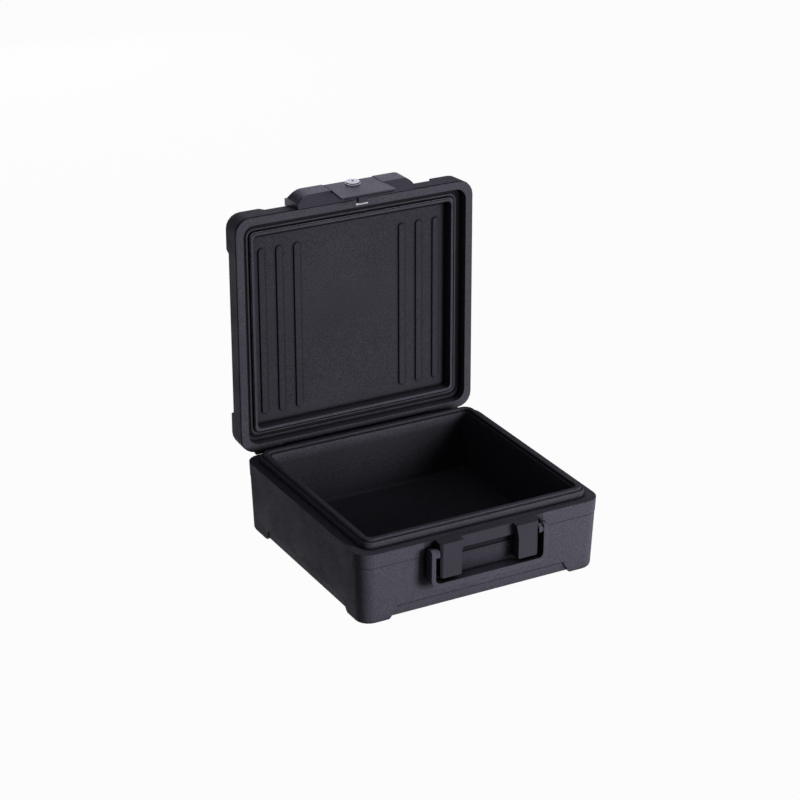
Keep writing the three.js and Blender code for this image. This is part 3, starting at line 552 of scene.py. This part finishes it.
def cross_depth(u, v):
    """How deep a screw head's cross recess is at a point off its middle."""
    half, reach, depth = 0.00034, 0.0013, 0.0007
    near, far = sorted((abs(u), abs(v)))
    if near > half or far > reach:
        return 0
    return depth * (1 - 0.5 * far / reach)


def add_screw(name, node):
    """A domed head with a cross recess on the place of a plain screw."""
    low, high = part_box(node)
    radius = (high[0] - low[0]) / 2
    seat = low[1] + 0.0012
    shank = seat - high[1]
    crown, rim_share, roundness, steps = 0.0011, 0.04, 2.4, 16
    profile = [(0, crown)]
    for i in range(1, steps + 1):
        share = i / steps
        height = crown * math.sqrt(max(rim_share, 1 - share**roundness))
        profile.append((radius * share, height))
    profile += [(radius, 0), (radius * 0.5, 0), (radius * 0.5, shank), (0, shank)]
    centre = Vector(((low[0] + high[0]) / 2, seat, (low[2] + high[2]) / 2))
    head = turned(profile, centre, (0, -1, 0), 48)
    eighth_turn = math.sqrt(0.5)
    for vertex in head.verts:
        off = vertex.co - centre
        if off.y < 0:
            u, v = (off.x + off.z) * eighth_turn, (off.x - off.z) * eighth_turn
            vertex.co.y += cross_depth(u, v)
    piece = add_piece(name, head, LOOKS["dark_steel"], "base")
    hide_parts(node)


def add_slot_shade():
    """A dark folded strip in the slot below the catch bar: painted shade under the bar."""
    half, edge = 0.0375, 0.00012
    bottom, fold, top = 0.0701, 0.0707, 0.0789
    back = -0.1693
    face = back - 0.0011
    lip = face - 0.0009
    section = [(back, bottom), (lip, bottom), (lip, fold), (face, fold), (face, top), (back, top)]
    add_piece("slot_shade_strip", swept(section, half), SHADE_BLACK, "base", edge)


def add_hinge_head(name, side):
    """A flat domed rivet head on one end of the hinge pin."""
    low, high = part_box("hinge_pin")
    centre = (side * high[0], (low[1] + high[1]) / 2, (low[2] + high[2]) / 2)
    profile = [
        (0, 0.0009),
        (0.0009, 0.00086),
        (0.0017, 0.0007),
        (0.0023, 0.0004),
        (0.0025, 0.00012),
        (0.0025, 0),
        (0, 0),
    ]
    add_piece(name, turned(profile, centre, (side, 0, 0), 40), LOOKS["steel"], "base")


def lid_ring(inset, deep):
    """An outline around the open lid, inset from its edge and so deep behind its rim."""
    radius = LID_CORNER - LID_CORNER_SHARE * inset
    across = LID_WIDTH / 2 - inset - radius
    along = LID_LENGTH / 2 - inset - radius
    _, hinge_y, hinge_z = OPEN_LID["pos_m"]
    points = []
    for quarter, (side, end) in enumerate(((1, 1), (-1, 1), (-1, -1), (1, -1))):
        for step in range(LID_CORNER_STEPS + 1):
            angle = (quarter + step / LID_CORNER_STEPS) * math.pi / 2
            x = side * across + radius * math.cos(angle)
            y = end * along + radius * math.sin(angle) + LID_MIDDLE - hinge_y
            z = LID_RIM + deep - hinge_z
            open_y = hinge_y + y * math.cos(LID_SWING) + z * math.sin(LID_SWING)
            open_z = hinge_z - y * math.sin(LID_SWING) + z * math.cos(LID_SWING)
            points.append((x, open_y, open_z))
    return points


def lid_band(section):
    """A closed section of (inset, depth) points carried around the open lid."""
    return joined([lid_ring(inset, deep) for inset, deep in section], closed=True)


def add_seal():
    """The lid's rubber seal in two pieces: a rounded bead, and a flat foot beside it, dark as a
    painted shadow of the rim.
    """
    low, high, face, squareness, steps = 0.0183, 0.0223, 0.0113, 0.8, 12
    section = []
    for step in range(steps + 1):
        angle = math.pi * step / steps
        inset = (low + high) / 2 - (high - low) / 2 * math.cos(angle)
        rise = (GROOVE_FLOOR - face) * math.sin(angle) ** squareness
        section.append((inset, GROOVE_FLOOR - rise))
    bead = add_piece("seal_bead", lid_band(section), LOOKS["seal_rubber"], "lid")
    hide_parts("lid_gasket")
    outer, top, edge = 0.0149, 0.0128, 0.0004
    section = [
        (outer, GROOVE_FLOOR),
        (outer, top + edge),
        (outer + edge, top),
        (low, top),
        (low, GROOVE_FLOOR),
    ]
    foot = add_piece("seal_foot", lid_band(section), SEAL_FOOT_SHADOW, "lid")
    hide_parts("lid_gasket")


def add_ridge_step():
    """The fine step on the outer flank of the lid's ridge, between the seal and its crest, with a
    painted highlight.
    """
    low, high, face, back, edge = 0.02345, 0.0243, 0.0098, 0.01262, 0.00015
    section = [(low, back), (low, face + edge), (low + edge, face), (high, face), (high, back)]
    add_piece("ridge_step", lid_band(section), RIDGE_STEP_HIGHLIGHT, "lid")


def lock_point(across, back, height):
    """A point at the lock: sideways, away from the plate's free end, and above the lock's face."""
    _, lean, rise = KEY_TURN["axis"]
    _, turn_y, turn_z = KEY_TURN["pos_m"]
    reach = (LOCK_FACE - turn_z) / rise + height
    return (across, turn_y + lean * reach + rise * back, turn_z + rise * reach - lean * back)


def add_lock_body():
    """The lock's housing: a bezel on a flange, with the barrel through the plate behind it."""
    bore, barrel, neck, bezel, flange = 0.0053, 0.0072, 0.0084, 0.0089, 0.01
    under_bezel, flange_top, flange_seat, tail = -0.0018, -0.0024, -0.0037, -0.0123
    profile = [
        (bore, 0),
        (bezel - 0.0006, 0),
        (bezel - 0.0002, -0.0001),
        (bezel, -0.0004),
        (bezel, under_bezel + 0.0003),
        (neck, under_bezel),
        (neck, flange_top),
        (flange - 0.0004, flange_top),
        (flange - 0.0001, flange_top - 0.0002),
        (flange, flange_top - 0.0005),
        (flange, flange_seat),
        (barrel, flange_seat),
        (barrel, tail),
        (bore, tail),
    ]
    made = turned(profile, lock_point(0, 0, 0), KEY_TURN["axis"], 64, closed=True)
    piece = add_piece("lock_body", made, LOOKS["lock_chrome"], "latch")
    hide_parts("lock_barrel")


def add_keyway_shade():
    """A dark plate over the keyway in the face of the lock's plug: painted shade of the keyway's
    hole.
    """
    half, reach, cut = 0.0011, 0.0032, 0.0006
    proud, foot = 0.00003, -0.0003
    outline = [
        (-half, cut - reach),
        (cut - half, -reach),
        (half - cut, -reach),
        (half, cut - reach),
        (half, reach - cut),
        (half - cut, reach),
        (cut - half, reach),
        (-half, reach - cut),
    ]
    ends = [[lock_point(u, v, height) for u, v in outline] for height in (proud, foot)]
    add_piece("keyway_shade", joined(ends, capped=True), SHADE_BLACK, "key_plug")


def add_plate_edge_shadow():
    """A dark strip along the underside of the latch plate's free end, where a finger lifts it:
    painted shadow of the gap under the plate's edge.
    """
    half, front, foot, back = 0.0352, 0.12042, 0.1212, 0.1218
    top, slope_top, bottom = 0.43165, 0.4306, 0.42995
    section = [(front, top), (front, slope_top), (foot, bottom), (back, bottom), (back, top)]
    add_piece("plate_edge_shadow", swept(section, half), SHADE_BLACK, "latch")


add_screw("screw_head_left", "bracket_screw_left")
add_screw("screw_head_right", "bracket_screw_right")
add_slot_shade()
add_lock_body()
add_keyway_shade()
add_plate_edge_shadow()
add_seal()
add_ridge_step()
add_hinge_head("hinge_head_left", -1)
add_hinge_head("hinge_head_right", 1)


# Stage, light and camera

WHITE = (1, 1, 1)
BLACK = (0.004, 0.004, 0.004)
FLOOR_TINT = (0.96, 0.95, 1.0)
SKY_TINT = (0.88, 0.86, 1.0)
KEY_LAMP = {
    "place": (1.1, -2.0, 0.5), "target": (0.0, -0.05, 0.15), "size": 0.9, "power": 62,
    "colour": (1, 0.985, 1.03), "glossy": False,
}
TOP_LAMP = {"place": (0.5, 0.0, 2.1), "target": (0.0, 0.0, 0.2), "size": 1.0, "power": 0.6}
REAR_LAMP = {
    "place": (0.3, 2.4, 0.6), "target": (0.0, 0.1, 0.2), "size": 1.0, "power": 42,
    "glossy": False,
}
FLAGS = {
    "flag_left": (
        (-0.42, -0.25, 0.0005),
        (-0.26, -0.25, 0.0005),
        (-0.26, 0.3, 0.0005),
        (-0.42, 0.3, 0.0005),
    ),
    "flag_high": ((-0.95, 0.9, 0.5), (-0.2, 1.05, 0.5), (-0.2, 1.05, 1.15), (-0.95, 0.9, 1.15)),
    "flag_right": ((0.19, 0.3, 0.0), (0.9, 0.3, 0.0), (0.9, 0.3, 0.42), (0.19, 0.3, 0.42)),
}


def shown_white(tree, plain, white, shown, mirrored, tint):
    """Shows the white shader over the plain one, by one share in view and by another in gloss.

    The white has the tint wherever the camera doesn't see it directly.
    """
    path = add_node(tree, "ShaderNodeLightPath", {}).outputs
    in_view = path["Is Camera Ray"]
    feed(tree, white.inputs["Color"], blended(tree, in_view, tint, WHITE))
    bounced = calculate(tree, "MAXIMUM", path["Is Glossy Ray"], path["Is Transmission Ray"])
    direct = product(tree, in_view, shown)
    rays = calculate(tree, "MAXIMUM", direct, product(tree, bounced, mirrored))
    inputs = {"Fac": rays, 1: plain.outputs[0], 2: white.outputs[0]}
    return add_node(tree, "ShaderNodeMixShader", inputs).outputs["Shader"]


def add_floor():
    """A plane that keeps the object's shadow, looks white, and lights it as its grey says."""
    half, level, grey = 9.0, -0.0004, 0.14
    material = bpy.data.materials.new("floor_white")
    material.use_nodes = True
    tree = material.node_tree
    tree.nodes.clear()
    plain = add_node(tree, "ShaderNodeBsdfDiffuse", {"Color": (grey, grey, grey, 1)})
    white = add_node(tree, "ShaderNodeEmission", {"Strength": 1})
    surface = shown_white(tree, plain, white, shown=0.97, mirrored=0.8, tint=FLOOR_TINT)
    add_node(tree, "ShaderNodeOutputMaterial", {"Surface": surface})
    corners = [(x * half, y * half, level) for x, y in ((-1, -1), (1, -1), (1, 1), (-1, 1))]
    new_object("floor", card(corners), material)


def add_world():
    world = bpy.data.worlds.new("studio")
    world.use_nodes = True
    scene.world = world
    tree = world.node_tree
    tree.nodes.clear()
    inputs = {"Color": (0.95, 0.96, 1, 1), "Strength": 0.025}
    dim = add_node(tree, "ShaderNodeBackground", inputs)
    white = add_node(tree, "ShaderNodeBackground", {"Strength": 1})
    surface = shown_white(tree, dim, white, shown=1, mirrored=0.75, tint=SKY_TINT)
    add_node(tree, "ShaderNodeOutputWorld", {"Surface": surface})


def add_lamp(name, place, target, size, power, colour=WHITE, glossy=True):
    light = bpy.data.lights.new(name, "AREA")
    light.shape = "SQUARE"
    light.size = size
    light.energy = power
    light.color = colour
    lamp = bpy.data.objects.new(name, light)
    lamp.location = place
    lamp.rotation_mode = "QUATERNION"
    lamp.rotation_quaternion = (Vector(target) - Vector(place)).to_track_quat("-Z", "Y")
    lamp.visible_glossy = glossy
    scene.collection.objects.link(lamp)


def add_flag(name, corners):
    """A black card beside the set, which only reflections show."""
    material, _, shader = new_material(name + "_black")
    shader.inputs["Base Color"].default_value = (*BLACK, 1)
    shader.inputs["Roughness"].default_value = 1
    shader.inputs["Specular IOR Level"].default_value = 0
    flag = new_object(name, card(corners), material)
    flag.visible_camera = False
    flag.visible_shadow = False
    flag.visible_diffuse = False


def add_camera():
    """The photograph's view, solved from the box's own edges."""
    place = (-1.36893, -2.43710, 1.43032)
    azimuth = math.radians(-28.926)
    elevation = math.radians(23.793)
    roll = math.radians(0.184)
    away = math.cos(elevation)
    back = Vector((math.sin(azimuth) * away, -math.cos(azimuth) * away, math.sin(elevation)))
    level = Vector((math.cos(azimuth), math.sin(azimuth), 0))
    upright = back.cross(level)
    right = level * math.cos(roll) + upright * math.sin(roll)
    up = upright * math.cos(roll) - level * math.sin(roll)
    data = bpy.data.cameras.new("camera")
    data.lens = 110.0871
    data.sensor_width = 36
    data.clip_end = 60
    camera = bpy.data.objects.new("camera", data)
    turn = Matrix((right, up, back)).transposed()
    camera.matrix_world = Matrix.Translation(place) @ turn.to_4x4()
    scene.collection.objects.link(camera)
    scene.camera = camera


add_floor()
add_world()
add_lamp("key", **KEY_LAMP)
add_lamp("top", **TOP_LAMP)
add_lamp("rear", **REAR_LAMP)
for name, corners in FLAGS.items():
    add_flag(name, corners)
add_camera()
scene.view_settings.view_transform = "Standard"
